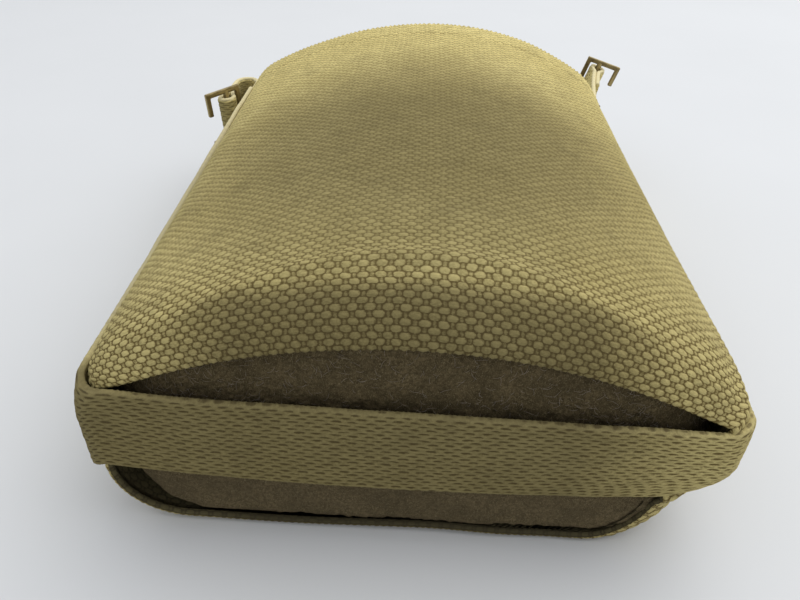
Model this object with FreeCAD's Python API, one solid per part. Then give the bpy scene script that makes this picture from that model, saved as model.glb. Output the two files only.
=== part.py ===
import FreeCAD, Part
import math
import os

from FreeCAD import Vector

# A felt-covered water bottle in its webbing carrier, lying on its flat back.
# +X is the carrier's right, +Y points from the base to the neck and +Z out of the domed front.
# The origin is the middle of the flat back face.  Every size is in millimetres.

# Driving dimensions
carrier_width = 162.0        # over the side strips
carrier_depth = 80.3         # from the flat back to the crown of the front panel
carrier_length = 205.0       # from the base strip's outer face to the panels' upper edges
strip_width = 25.4           # one-inch webbing
strip_low_z = 23.7           # lower edge of the side and base strip
strip_high_radius = 10.0     # outer face of the strip where its upper edge turns the base corners
strip_low_radius = 20.0      # the same at its lower edge, which is drawn in
front_base_radius = 14.0     # the front panel's base corners, as if they were in the strip's outer face
webbing = 2.0                # thickness of all the webbing
fit_gap = 0.4                # between the felt and the panels
seam_gap = 0.1               # between layers that are sewn together
crown_radius = 133.0         # outer face of the front panel
front_corner_radius = 21.5   # outer face of the front panel, at its sides
back_corner_radius = 20.0    # outer face of the back panel, at its sides
base_radius = 15.5           # rounding of the felt at the base, seen from the front
base_edge_radius = 17.0      # the same, seen from the side, at the front of the base
back_edge_radius = 8.0       # and at its back
kidney_hollow = 5.0          # depth of the hollow in the bottle's back

felt_thickness = 3.2
steel_thickness = 0.7
felt_slack = 0.3             # between the felt and the steel
seam = 0.03                  # the soldered seams between the bottle's pressings

shoulder_drop = 16.0         # how far below the panels' upper edges the bottle's barrel ends
shoulder_height = 23.0
neck_z = 38.0
neck_radius = 15.0
neck_flange = 3.0            # how far the flange under the neck stands out round it
mouth_radius = 11.8
neck_height = 16.0
mouth_lip_radius = 16.5
lip_wire = 2.2               # radius of the roll round the mouth
neck_flange_scale = 0.25     # width of the shoulder at its top, as a share of the bottle's

chape_rise = 1.5             # the right chape's root above the panels' upper edges
bend_rise = 9.5              # the left strip's end runs this far up before it folds outward
chape_length = 53.0          # from the right chape's root to the buckle's bar
chape_twist = 16.0           # degrees through which the right chape twists by its end
chape_bend = 5.0             # radius to which the left chape is folded outward
chape_bend_degrees = 90.0    # how far it bends beyond the crown of the fold
folded_length = 21.0         # from the end of its bend to the buckle's bar
folded_chape_twist = 4.0
chape_loop = 2.2             # inner radius of the loose loop round the buckle's bar
buckle_height = 32.5
buckle_width = 18.0
buckle_bar = 2.2
buckle_thickness = 1.8
buckle_bar_radius = 1.3
running_gap = 0.06
prong_length = 10.5

stitch_length = 3.2
stitch_pitch = 4.6
thread_radius = 0.45
stitch_lift = 0.06           # keeps a stitch just off the cloth it lies on

# Levels that follow from the driving dimensions
base_y = -carrier_length / 2
top_y = carrier_length / 2
strip_high_z = strip_low_z + strip_width
strip_mid_z = strip_low_z + strip_width / 2

# Every layer is a distance outside the felt's outer face
panel_in = fit_gap
panel_out = panel_in + webbing
strip_in = panel_out + seam_gap
strip_out = strip_in + webbing
felt_in = -felt_thickness
steel_out = felt_in - felt_slack
steel_in = steel_out - steel_thickness

felt_half_width = carrier_width / 2 - strip_out
felt_back_z = panel_out
felt_front_z = carrier_depth - panel_out
felt_base_y = base_y + strip_out
edge_y = felt_base_y + base_edge_radius
shoulder_y = top_y - shoulder_drop
shoulder_top_y = shoulder_y + shoulder_height
neck_top_y = shoulder_top_y + neck_height
strip_mid_x = carrier_width / 2 - webbing / 2
chape_root_y = top_y + chape_rise
chape_crown_y = top_y + bend_rise + chape_bend


def arc(start, middle, end):
    return Part.Arc(start, middle, end).toShape()


def tangent_point(centre, toward, radius):
    """The point on a circle, in the direction of another point."""
    direction = toward.sub(centre)
    direction.normalize()
    return centre + direction * radius


def section_edges(out, hollow):
    """The bottle's outline across its length, at y = 0, moved outward by `out`.

    A crown arc and two corner arcs make the front.  The back is flat, or a shallow hollow.
    """
    half_width = felt_half_width + out
    crown_r = crown_radius - panel_out + out
    front_r = front_corner_radius - panel_out + out
    back_r = back_corner_radius - panel_out + out
    crown_c = Vector(0, 0, carrier_depth - crown_radius)
    front_x = half_width - front_r
    front_z = crown_c.z + math.sqrt((crown_r - front_r) ** 2 - front_x ** 2)
    back_x = half_width - back_r
    back_z = felt_back_z - out + back_r
    rise = back_r - hollow
    hollow_r = (back_x ** 2 + rise ** 2 - back_r ** 2) / (2 * (back_r - rise)) if hollow else 0
    hollow_c = Vector(0, 0, felt_back_z - out + hollow - hollow_r)

    edges = []
    crown_ends = []
    back_ends = []
    for side in (1, -1):
        front_c = Vector(side * front_x, 0, front_z)
        back_c = Vector(side * back_x, 0, back_z)
        crown_end = tangent_point(crown_c, front_c, crown_r)
        side_high = Vector(side * half_width, 0, front_z)
        side_low = Vector(side * half_width, 0, back_z)
        back_end = tangent_point(back_c, hollow_c, back_r) if hollow else back_c - Vector(0, 0, back_r)
        front_middle = tangent_point(front_c, (crown_end + side_high) * 0.5, front_r)
        back_middle = tangent_point(back_c, (back_end + side_low) * 0.5, back_r)
        edges.append(arc(crown_end, front_middle, side_high))
        edges.append(Part.LineSegment(side_high, side_low).toShape())
        edges.append(arc(side_low, back_middle, back_end))
        crown_ends.append(crown_end)
        back_ends.append(back_end)
    edges.append(arc(crown_ends[0], crown_c + Vector(0, 0, crown_r), crown_ends[1]))
    if hollow:
        edges.append(arc(back_ends[0], hollow_c + Vector(0, 0, hollow_r), back_ends[1]))
    else:
        edges.append(Part.LineSegment(back_ends[0], back_ends[1]).toShape())
    return edges


def section(out, hollow, y, scale_x, scale_z, lift):
    """The outline as a wire at y, scaled about the line x = 0, z = 0, then lifted."""
    wire = Part.Wire(Part.__sortEdges__(section_edges(out, hollow)))
    matrix = FreeCAD.Matrix(scale_x, 0, 0, 0, 0, 1, 0, y, 0, 0, scale_z, lift)
    return wire.transformGeometry(matrix)


def barrel(out, low_y, high_y, hollow=kidney_hollow):
    wire = Part.Wire(Part.__sortEdges__(section_edges(out, hollow)))
    wire.translate(Vector(0, low_y, 0))
    return Part.Face(wire).extrude(Vector(0, high_y - low_y, 0))


def rounding(radius, above):
    """How far a quarter-round edge has drawn in at a height `above` its lowest level."""
    if above >= radius:
        return 0.0
    return radius - math.sqrt(radius ** 2 - (radius - above) ** 2)


def layer_radius(strip_radius, out):
    """The corner radius of a layer, from that of the strip's outer face at the same place."""
    return strip_radius - strip_out + out


def base_form(out, corner_radius):
    """The rounded end below the barrel."""
    half_width = felt_half_width + out
    back_z = felt_back_z - out
    depth = felt_front_z + out - back_z
    edge_radius = base_edge_radius + out
    wires = []
    for degrees in (90, 84, 78, 72, 66, 58, 50, 42, 34, 26, 18, 9, 0):
        above = edge_radius * (1 - math.sin(math.radians(degrees)))
        scale_x = 1 - rounding(corner_radius, above) / half_width
        sunk = rounding(back_edge_radius + out, above)
        scale_z = 1 - (rounding(edge_radius, above) + sunk) / depth
        lift = back_z + sunk - scale_z * back_z
        wires.append(section(out, kidney_hollow, felt_base_y - out + above, scale_x, scale_z, lift))
    return Part.makeLoft(wires, True, True, False)


def cloth_form(out, end_y):
    """The rounded base and the barrel above it, with the cloth's sharper base corners."""
    return base_form(out, layer_radius(front_base_radius, out)).fuse(barrel(out, edge_y, end_y))


def shoulder_form(out):
    """The dome between the barrel and the neck."""
    height = shoulder_height + out
    wires = []
    for degrees in (0, 18, 36, 54, 72, 88):
        angle = math.radians(degrees)
        scale = neck_flange_scale + (1 - neck_flange_scale) * math.cos(angle)
        y = shoulder_y + height * math.sin(angle)
        wires.append(section(out, kidney_hollow, y, scale, scale, neck_z * (1 - scale)))
    return Part.makeLoft(wires, True, False, False)


def bottle_form(out):
    body = base_form(out, base_radius + out)
    body = body.fuse(barrel(out, edge_y, shoulder_y))
    return body.fuse(shoulder_form(out))


def slab(low, high):
    return Part.makeBox(high[0] - low[0], high[1] - low[1], high[2] - low[2], Vector(*low))


def y_cylinder(radius, low_y, high_y, x=0.0, z=neck_z):
    return Part.makeCylinder(radius, high_y - low_y, Vector(x, low_y, z), Vector(0, 1, 0))


def prism_along_y(points, low_y, high_y):
    """A straight-sided outline in X and Z, given as pairs, extended along Y."""
    corners = [Vector(x, low_y, z) for x, z in points]
    return Part.Face(Part.makePolygon(corners + corners[:1])).extrude(Vector(0, high_y - low_y, 0))


def plan_outline(out, end_y, strip_radius):
    """The strip's path in plan: up one side, round the base corners and up the other side."""
    half_width = felt_half_width + out
    radius = layer_radius(strip_radius, out)
    low_y = felt_base_y - out
    bend = radius * math.sqrt(0.5)
    corner_x = half_width - radius
    corner_y = low_y + radius
    points = [Vector(half_width, end_y, 0), Vector(half_width, corner_y, 0), Vector(corner_x, low_y, 0)]
    left = [Vector(-p.x, p.y, 0) for p in reversed(points)]
    middle_right = Vector(corner_x + bend, corner_y - bend, 0)
    return [Part.LineSegment(points[0], points[1]).toShape(),
            arc(points[1], middle_right, points[2]),
            Part.LineSegment(points[2], left[0]).toShape(),
            arc(left[0], Vector(-middle_right.x, middle_right.y, 0), left[1]),
            Part.LineSegment(left[1], left[2]).toShape()]


def straight_form(out, end_y):
    """The flat-backed outline taken straight down to the base, rounded only in plan."""
    edges = plan_outline(out, end_y, strip_low_radius)
    close = Part.LineSegment(edges[0].Vertexes[0].Point, edges[-1].Vertexes[-1].Point).toShape()
    plan = Part.Face(Part.Wire(Part.__sortEdges__(edges + [close])))
    column = plan.extrude(Vector(0, 0, 2 * carrier_depth))
    column.translate(Vector(0, 0, -carrier_depth / 2))
    return barrel(out, felt_base_y - out, end_y, 0).common(column)


# The carrier's cloth

sewn_margin = 9.0            # how far each panel's sides run in behind the strip
panel_edge_z = 67.5          # the front panel's free lower edge, at its middle
panel_edge_radius = 157.0
panel_sewn_x = 73.8          # the free edge runs between the ends of the side seams
back_flat_half = 50.0        # half the width over which the back panel's free edge is straight
back_sewn_x = 72.0
edge_cut = 8.0               # how far above the base a free edge is cut through the cloth


def front_panel():
    shell = cloth_form(panel_out, top_y).cut(cloth_form(panel_in, top_y + 1))
    half = carrier_width
    low_y = base_y - 1
    keep = slab((-half, low_y, strip_high_z - sewn_margin), (half, top_y + 1, carrier_depth + 1))
    drop = panel_edge_radius - math.sqrt(panel_edge_radius ** 2 - panel_sewn_x ** 2)
    ends = [Vector(side * panel_sewn_x, low_y, panel_edge_z - drop) for side in (-1, 1)]
    corners = [Vector(side * panel_sewn_x, low_y, 0) for side in (1, -1)]
    top = arc(ends[0], Vector(0, low_y, panel_edge_z), ends[1])
    sides = Part.makePolygon([ends[1], corners[0], corners[1], ends[0]])
    window = Part.Face(Part.Wire([top] + sides.Edges))
    return shell.common(keep).cut(window.extrude(Vector(0, base_edge_radius + edge_cut, 0)))


def back_panel():
    shell = straight_form(panel_out, top_y).cut(straight_form(panel_in, top_y + 1))
    high_z = strip_low_z + sewn_margin
    half = carrier_width
    keep = slab((-half, base_y - 1, -1), (half, top_y + 1, high_z))
    lip = webbing + 0.2
    edge = [(-back_sewn_x, high_z + 1), (-back_sewn_x, strip_low_z), (-back_flat_half, lip),
            (back_flat_half, lip), (back_sewn_x, strip_low_z), (back_sewn_x, high_z + 1)]
    window = prism_along_y(edge, base_y - 1, felt_base_y + edge_cut)
    return shell.common(keep).cut(window)


def smooth_curve(path):
    spine = Part.BSplineCurve()
    spine.interpolate(path)
    return spine


def station(spine, share, twist):
    """A place part of the way along a twisting ribbon: its middle, and unit vectors to the left and up."""
    at = spine.FirstParameter + (spine.LastParameter - spine.FirstParameter) * share
    along = spine.tangent(at)[0]
    turn = FreeCAD.Rotation(along, twist * share)
    return spine.value(at), turn.multVec(Vector(-along.y, along.x, 0)), turn.multVec(Vector(0, 0, 1))


def band(path, near, far):
    """Webbing standing on its edge along a smooth plan path, between two offsets to its left."""
    spine = smooth_curve(path)
    steps = 30
    sides = ([], [])
    for i in range(steps + 1):
        middle, left, _ = station(spine, i / steps, 0)
        sides[0].append(middle + left * near)
        sides[1].append(middle + left * far)
    edges = [smooth_curve(side).toShape() for side in sides]
    edges.append(Part.LineSegment(sides[0][0], sides[1][0]).toShape())
    edges.append(Part.LineSegment(sides[0][-1], sides[1][-1]).toShape())
    face = Part.Face(Part.Wire(Part.__sortEdges__(edges)))
    return face.extrude(Vector(0, 0, strip_width))


def bend_points(radius, from_degrees, to_degrees):
    """Points round an arc about the origin, anticlockwise from +X."""
    count = 6
    points = []
    for i in range(count + 1):
        angle = math.radians(from_degrees + (to_degrees - from_degrees) * i / count)
        points.append(Vector(radius * math.cos(angle), radius * math.sin(angle), 0))
    return points


def gusset_strip():
    """One length of webbing round both sides and the base, standing on its edge.

    Its left end runs on past the panels into the bend where the left chape folds outward.
    """
    wires = []
    for z, strip_radius in ((0, strip_low_radius), (strip_width, strip_high_radius)):
        edges = plan_outline(strip_out, top_y, strip_radius) + plan_outline(strip_in, top_y, strip_radius)
        for side in (1, -1):
            edges.append(Part.LineSegment(Vector(side * (felt_half_width + strip_out), top_y, 0),
                                          Vector(side * (felt_half_width + strip_in), top_y, 0)).toShape())
        wire = Part.Wire(Part.__sortEdges__(edges))
        wire.translate(Vector(0, 0, z))
        wires.append(wire)
    strip = Part.makeLoft(wires, True, True, False)
    short = 16                  # degrees by which the bend stops short of the chape's rounded root
    centre = Vector(-strip_mid_x - chape_bend, chape_crown_y - chape_bend, 0)
    path = [Vector(-strip_mid_x, top_y, 0)]
    path += [centre + point for point in bend_points(chape_bend, 0, 90 - short)]
    strip = strip.fuse(band(path, -webbing / 2, webbing / 2)).removeSplitter()
    strip.translate(Vector(0, 0, strip_low_z))
    return strip


def stitch_row(start, step, count, direction):
    """Stitches in a line.  Each one is a short round thread lying along `direction`."""
    half = Vector(direction) * (stitch_length / 2)
    row = []
    for i in range(count):
        middle = start + step * i
        row.append(Part.makeCylinder(thread_radius, stitch_length, middle - half, direction))
    return row


def side_seams(z):
    """The stitches that hold a panel to the strip, up both sides of the carrier."""
    along = Vector(0, 1, 0)
    low_y = base_y + strip_low_radius
    count = int((top_y - 4 - low_y) / stitch_pitch)
    x = carrier_width / 2 + thread_radius + stitch_lift
    stitches = []
    for side in (-1, 1):
        start = Vector(side * x, low_y + stitch_pitch / 2, z)
        stitches += stitch_row(start, along * stitch_pitch, count, along)
    return Part.makeCompound(stitches)


# The chapes and buckles.  Each chape is built with its root at the origin, then moved to its corner of
# the carrier.  The buckle's bar is at the chape's far end and stands across it.

loop_out = chape_loop + webbing
root_radius = 0.97           # of the round end the chape folds about, just inside the webbing's faces


def z_cylinder(radius, height, centre):
    return Part.makeCylinder(radius, height, centre - Vector(0, 0, height / 2))


def twisted(shape, path, degrees):
    """Turned about the path's last stretch."""
    shape.rotate(path[-1], path[-1].sub(path[-2]), degrees)
    return shape


def ribbon(path, near, far, twist, first=0):
    """Webbing along a smooth plan path, between two offsets to its left, twisting as it goes."""
    spine = smooth_curve(path)
    steps = 12
    half = strip_width / 2
    wires = []
    for i in range(first, steps + 1):
        middle, left, up = station(spine, i / steps, twist)
        corners = [middle + left * near - up * half, middle + left * near + up * half,
                   middle + left * far + up * half, middle + left * far - up * half]
        wires.append(Part.makePolygon(corners + corners[:1]))
    return Part.makeLoft(wires, True, True, False)


def chape(path, turn, twist):
    """The strip's end, doubled round the buckle's bar at the path's last point.

    The two layers lie either side of the path.  The returning one is on its left where turn is 1.
    """
    returns_from = 6
    join = 0.05
    hole = twisted(z_cylinder(chape_loop, strip_width + 2, path[-1]), path, twist)
    loop = twisted(z_cylinder(loop_out, strip_width, path[-1]), path, twist).cut(hole)
    layer = ribbon(path, 0, -turn * webbing, twist)
    layers = layer.fuse(ribbon(path, -turn * join, turn * webbing, twist, returns_from))
    root = z_cylinder(root_radius, strip_width, Vector(0, 0, 0))
    return layers.cut(hole).fuse(loop).fuse(root)


def buckle():
    """An open-ended buckle, its middle bar on the Z axis and its two prongs towards +X."""
    half = buckle_height / 2
    closed_x = -6.0
    prong_x = closed_x - buckle_bar + buckle_width
    low_x = closed_x - buckle_bar / 2
    high_x = low_x + buckle_width
    flat = buckle_thickness / 2
    frame = slab((low_x, -flat, -half), (low_x + buckle_bar, flat, half))
    for side in (-1, 1):
        end_low = side * half - (buckle_bar if side > 0 else 0)
        frame = frame.fuse(slab((low_x, -flat, end_low), (high_x, flat, end_low + buckle_bar)))
        prong_low = half - prong_length if side > 0 else -half
        frame = frame.fuse(slab((prong_x - buckle_bar / 2, -flat, prong_low),
                                (prong_x + buckle_bar / 2, flat, prong_low + prong_length)))
    frame = frame.removeSplitter()
    frame = frame.makeFillet(0.55, frame.Edges)
    bar_height = buckle_height - buckle_bar
    return frame.fuse(z_cylinder(buckle_bar_radius, bar_height, Vector(0, 0, 0))).removeSplitter()


def chape_stitches(path, side, rows, twist):
    """Short rows across the doubled end, on the face to the path's left where side is 1."""
    spine = smooth_curve(path)
    off = side * (webbing + thread_radius + stitch_lift)
    stitches = []
    for back in rows:
        middle, left, up = station(spine, 1 - back / spine.length(), twist)
        start = middle + left * off - up * (2 * stitch_pitch)
        stitches += stitch_row(start, up * stitch_pitch, 5, up)
    return Part.makeCompound(stitches)


right_root = Vector(strip_mid_x, chape_root_y, strip_mid_z)
right_path = [Vector(webbing / 2, 0, 0), Vector(2.6, chape_length / 3, 0),
              Vector(5.0, chape_length * 2 / 3, 0), Vector(8.0, chape_length, 0)]
right_rows = (9.0, 18.0)
right_buckle_turn = -6.0

left_root = Vector(-strip_mid_x - chape_bend, chape_crown_y, strip_mid_z)
left_path = [point - Vector(0, chape_bend, 0)
             for point in bend_points(chape_bend - webbing / 2, 90, 90 + chape_bend_degrees)]
folded_along = Vector(-math.cos(math.radians(chape_bend_degrees)), -math.sin(math.radians(chape_bend_degrees)), 0)
left_path += [left_path[-1] + folded_along * folded_length * share for share in (0.33, 0.67, 1.0)]
left_rows = (7.0, 15.0)
left_buckle_turn = -130.0


def stand(shape, root):
    shape.translate(root)
    return shape


def turned_buckle(path, turn, twist):
    shape = buckle()
    shape.rotate(Vector(0, 0, 0), Vector(0, 0, 1), turn)
    shape.translate(path[-1])
    return twisted(shape, path, twist)


# The bottle

def steel_shell():
    outer = bottle_form(steel_out)
    return outer.cut(bottle_form(steel_in))


def cut_between(shape, low_y, high_y):
    half = carrier_width
    return shape.common(slab((-half, low_y, -half), (half, high_y, half)))


def bottle_neck():
    """The mouth tube, with a flange under it and a rolled lip round its top."""
    low_y = shoulder_top_y + steel_out
    flange = y_cylinder(neck_radius + neck_flange, low_y, low_y + 2 * steel_thickness)
    tube = y_cylinder(neck_radius, low_y, neck_top_y - lip_wire / 2)
    lip = Part.makeTorus(mouth_lip_radius - lip_wire, lip_wire, Vector(0, neck_top_y - lip_wire, neck_z),
                         Vector(0, 1, 0))
    neck = flange.fuse(tube).fuse(lip)
    return neck.cut(y_cylinder(mouth_radius, low_y - 1, neck_top_y + 1))


def bottle_shoulder(steel):
    """The dome, pierced under the neck."""
    dome = cut_between(steel, shoulder_y, shoulder_top_y + steel_out - seam)
    return dome.cut(y_cylinder(mouth_radius, shoulder_y, neck_top_y))


def felt_half(shell, front):
    """The felt is two halves, sewn along the sides and under the base."""
    half = carrier_width
    gap = seam_gap / 2
    if front:
        return shell.common(slab((-half, base_y, strip_mid_z + gap), (half, neck_top_y, carrier_depth)))
    return shell.common(slab((-half, base_y, 0), (half, neck_top_y, strip_mid_z - gap)))


def felt_shell():
    shell = bottle_form(0).cut(bottle_form(felt_in))
    hole_radius = neck_radius + neck_flange + fit_gap
    return shell.cut(y_cylinder(hole_radius, shoulder_top_y - 8, neck_top_y))


def felt_stitches():
    """Stitches across the seam under the base, just outside the felt."""
    across = Vector(0, 0, 1)
    pitch = 6.0
    count = 17
    start = Vector(-pitch * (count - 1) / 2, felt_base_y - thread_radius - stitch_lift, strip_mid_z)
    return Part.makeCompound(stitch_row(start, Vector(pitch, 0, 0), count, across))


# The stopper

cork_low_y = neck_top_y - 20
cork_high_y = neck_top_y + 8
cork_head_overhang = 1.4
cork_head_flare = 1.2
spindle_radius = 1.5
spindle_gap = 0.05            # between the spindle and what it passes through
spindle_head_radius = 2.8
spindle_head = 1.6
washer_gap = 0.02             # between a washer and the cork
eye_radius = 4.2
eye_wire = 1.3
ring_radius = 9.0
ring_wire = 1.1
washer_thickness = 1.0
stem_length = 5.0             # the bare stem between the top washer and the eye, where the cord is tied
stem_y = cork_high_y + washer_thickness + stem_length / 2
eye_y = cork_high_y + washer_thickness + stem_length + eye_radius + eye_wire
cord_radius = 1.2


def cork():
    head_y = neck_top_y + seam_gap
    head_radius = mouth_radius + cork_head_overhang
    plug = y_cylinder(mouth_radius - running_gap, cork_low_y, head_y)
    head = Part.makeCone(head_radius, head_radius + cork_head_flare, cork_high_y - head_y,
                         Vector(0, head_y, neck_z), Vector(0, 1, 0))
    return plug.fuse(head).cut(y_cylinder(spindle_radius + spindle_gap, cork_low_y - 1, cork_high_y + 1))


def washer(radius, low_y):
    disc = y_cylinder(radius, low_y, low_y + washer_thickness)
    return disc.cut(y_cylinder(spindle_radius + spindle_gap, low_y - 1, low_y + washer_thickness + 1))


def stopper_spindle():
    """A rod through the cork, with a riveted head below and an eye above."""
    low_y = cork_low_y - washer_thickness - seam_gap
    rod = y_cylinder(spindle_radius, low_y - spindle_head / 2, eye_y - eye_radius)
    head = y_cylinder(spindle_head_radius, low_y - spindle_head, low_y)
    eye = Part.makeTorus(eye_radius, eye_wire, Vector(0, eye_y, neck_z), Vector(1, 0, 0))
    return rod.fuse(head).fuse(eye)


def stopper_ring():
    """Hangs in the eye, lying back over the cork's edge."""
    tilt = math.radians(20)
    centre = Vector(0, eye_y + ring_radius * math.cos(tilt), neck_z - ring_radius * math.sin(tilt))
    normal = Vector(0, math.sin(tilt), math.cos(tilt))
    return Part.makeTorus(ring_radius, ring_wire, centre, normal)


def stopper_cord():
    """A slack cord, tied round the bottle's neck at one end and round the spindle's stem at the other."""
    slack = 18.0
    tied_y = (shoulder_top_y + neck_top_y) / 2 - 1.0
    neck_loop = neck_radius + cord_radius + seam_gap
    stem_loop = spindle_radius + cord_radius + seam_gap
    path = Part.BSplineCurve()
    path.interpolate([Vector(neck_loop, tied_y, neck_z),
                      Vector(neck_loop + slack * 0.7, tied_y + 3, neck_z - 4),
                      Vector(neck_loop + slack, stem_y - 4, neck_z - 8),
                      Vector(neck_loop + slack * 0.4, stem_y + 4, neck_z - 4),
                      Vector(stem_loop, stem_y, neck_z)])
    start = path.value(path.FirstParameter)
    circle = Part.Circle(start, path.tangent(path.FirstParameter)[0], cord_radius)
    line = Part.Wire(path.toShape()).makePipeShell([Part.Wire(circle.toShape())], True, True)
    around = Vector(0, 1, 0)
    cord = line.fuse(Part.makeTorus(neck_loop, cord_radius, Vector(0, tied_y, neck_z), around))
    return cord.fuse(Part.makeTorus(stem_loop, cord_radius, Vector(0, stem_y, neck_z), around))


steel = steel_shell()
felt = felt_shell()

parts = {
    "front_panel": front_panel(),
    "back_panel": back_panel(),
    "gusset_strip": gusset_strip(),
    "front_seam_thread": side_seams(strip_high_z - 4.0),
    "back_seam_thread": side_seams(strip_low_z + 4.0),
    "chape_right": stand(chape(right_path, -1, chape_twist), right_root),
    "chape_left": stand(chape(left_path, 1, folded_chape_twist), left_root),
    "buckle_right": stand(turned_buckle(right_path, right_buckle_turn, chape_twist), right_root),
    "buckle_left": stand(turned_buckle(left_path, left_buckle_turn, folded_chape_twist), left_root),
    "chape_right_thread": stand(chape_stitches(right_path, -1, right_rows, chape_twist), right_root),
    "chape_left_thread": stand(chape_stitches(left_path, -1, left_rows, folded_chape_twist), left_root),
    "bottle_base": cut_between(steel, base_y, edge_y - seam),
    "bottle_wall": cut_between(steel, edge_y, shoulder_y - seam),
    "bottle_shoulder": bottle_shoulder(steel),
    "bottle_neck": bottle_neck(),
    "felt_front": felt_half(felt, True),
    "felt_back": felt_half(felt, False),
    "felt_seam_thread": felt_stitches(),
    "cork": cork(),
    "cork_top_washer": washer(11.0, cork_high_y + washer_gap),
    "cork_bottom_washer": washer(8.5, cork_low_y - washer_thickness - washer_gap),
    "stopper_spindle": stopper_spindle(),
    "stopper_ring": stopper_ring(),
    "stopper_cord": stopper_cord(),
}

os.makedirs("parts", exist_ok=True)
for name, shape in parts.items():
    shape.exportStep("parts/" + name + ".step")
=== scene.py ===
import math

import bmesh
import bpy
import numpy as np
from mathutils import Matrix, Vector


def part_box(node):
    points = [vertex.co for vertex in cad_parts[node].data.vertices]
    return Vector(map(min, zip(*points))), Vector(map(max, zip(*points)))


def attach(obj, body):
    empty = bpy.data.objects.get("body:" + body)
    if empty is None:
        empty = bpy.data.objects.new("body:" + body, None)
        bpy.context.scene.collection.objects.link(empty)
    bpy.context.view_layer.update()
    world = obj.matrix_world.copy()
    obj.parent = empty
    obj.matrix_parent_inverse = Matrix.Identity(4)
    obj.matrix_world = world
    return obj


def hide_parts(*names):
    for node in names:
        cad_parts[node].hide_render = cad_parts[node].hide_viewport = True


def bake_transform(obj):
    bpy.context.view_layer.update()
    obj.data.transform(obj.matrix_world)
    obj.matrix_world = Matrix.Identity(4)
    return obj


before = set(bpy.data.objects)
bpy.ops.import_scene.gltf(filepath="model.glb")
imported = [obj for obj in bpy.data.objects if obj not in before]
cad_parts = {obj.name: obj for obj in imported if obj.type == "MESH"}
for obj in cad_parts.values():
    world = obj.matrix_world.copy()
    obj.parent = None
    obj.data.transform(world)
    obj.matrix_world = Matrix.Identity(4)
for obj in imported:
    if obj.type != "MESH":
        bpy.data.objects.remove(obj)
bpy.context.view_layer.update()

# Every size below is in millimetres, in the CAD frame: +X right, +Y towards the neck, +Z out of the
# domed front, and the origin in the middle of the flat back.  Meshes are scaled to metres when made.
MM = 0.001


def box_mm(node):
    low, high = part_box(node)
    return np.array(low) / MM, np.array(high) / MM


strip_low, strip_high = box_mm("gusset_strip")
_, panel_high = box_mm("front_panel")
felt_low, felt_high = box_mm("felt_front")
neck_low, neck_high = box_mm("bottle_neck")

half_width = strip_high[0]
depth = panel_high[2]
base_y = strip_low[1]
top_y = panel_high[1]
strip_low_z = strip_low[2]
strip_high_z = strip_high[2]
strip_mid_z = (strip_low_z + strip_high_z) / 2
strip_width = strip_high_z - strip_low_z

webbing = 2.0
felt_thickness = 3.2
panel_out = panel_high[0] - felt_high[0]       # each layer is a distance outside the felt's outer face
panel_in = panel_out - webbing
strip_out = half_width - felt_high[0]
felt_half_width = felt_high[0]
felt_base_y = felt_low[1]
felt_back_z = panel_out
felt_front_z = depth - panel_out
middle_z = (felt_front_z + felt_back_z) / 2

crown_radius = 133.0            # outer face of the front panel
front_corner_radius = 21.5
back_corner_radius = 20.0
felt_base_radius = 15.5         # rounding of the felt at the base, in plan
felt_edge_radius = 17.0         # the same, seen from the side, at the front of the base
felt_back_radius = 4.0          # and at its back
strip_low_radius = 20.0         # the strip's outer face at the base corners, lower and upper edges
strip_high_radius = 10.0
kidney_hollow = 5.0
sewn_margin = 9.0               # how far the panels' sides run in behind the strip
shoulder_drop = 16.0
shoulder_height = 23.0
neck_flange_scale = 0.25
shoulder_y = top_y - shoulder_drop
neck_z = (neck_low[2] + neck_high[2]) / 2


# -------- outlines

def front_outline(s, out):
    """X and Z at arc length s from the middle of the front."""
    crown = crown_radius - panel_out + out
    corner = front_corner_radius - panel_out + out
    crown_z = depth - crown_radius
    corner_x = felt_half_width + out - corner
    corner_z = crown_z + math.sqrt((crown - corner) ** 2 - corner_x ** 2)
    turn = math.asin(corner_x / (crown - corner))
    crown_end = crown * turn
    corner_end = crown_end + corner * (math.pi / 2 - turn)
    a = np.abs(s)
    angle = np.minimum(np.where(a < crown_end, a / crown, turn + (a - crown_end) / corner), math.pi / 2)
    on_crown = a < crown_end
    x = np.where(on_crown, crown * np.sin(angle), corner_x + corner * np.sin(angle))
    z = np.where(on_crown, crown_z + crown * np.cos(angle), corner_z + corner * np.cos(angle))
    return x * np.sign(s), z - np.maximum(a - corner_end, 0)


def back_outline(s, out, hollow=0.0):
    """The same for the back, from its middle.  The back is flat, or a shallow hollow."""
    corner = back_corner_radius - panel_out + out
    corner_x = felt_half_width + out - corner
    low_z = felt_back_z - out
    a = np.abs(s)
    if hollow > 0:
        rise = corner - hollow
        bow = (corner_x ** 2 + rise ** 2 - corner ** 2) / (2 * (corner - rise))
        lean = math.atan2(corner_x, corner - hollow + bow)
        flat_end = bow * lean
        flat_x, flat_z = bow * np.sin(a / bow), low_z + hollow - bow + bow * np.cos(a / bow)
    else:
        lean = 0.0
        flat_end = corner_x
        flat_x, flat_z = a, np.full_like(a, low_z)
    turn = np.minimum((a - flat_end) / corner - lean, math.pi / 2)
    corner_end = flat_end + corner * (math.pi / 2 + lean)
    on_flat = a < flat_end
    x = np.where(on_flat, flat_x, corner_x + corner * np.sin(turn))
    z = np.where(on_flat, flat_z, low_z + corner - corner * np.cos(turn))
    return x * np.sign(s), z + np.maximum(a - corner_end, 0)


def hollow_outline(s, out):
    return back_outline(s, out, kidney_hollow)


def length_to_z(outline, out, z):
    """Arc length at which an outline's side reaches a height."""
    s = np.linspace(60, 140, 3201)
    return s[np.argmin(np.abs(outline(s, out)[1] - z))]


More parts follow.
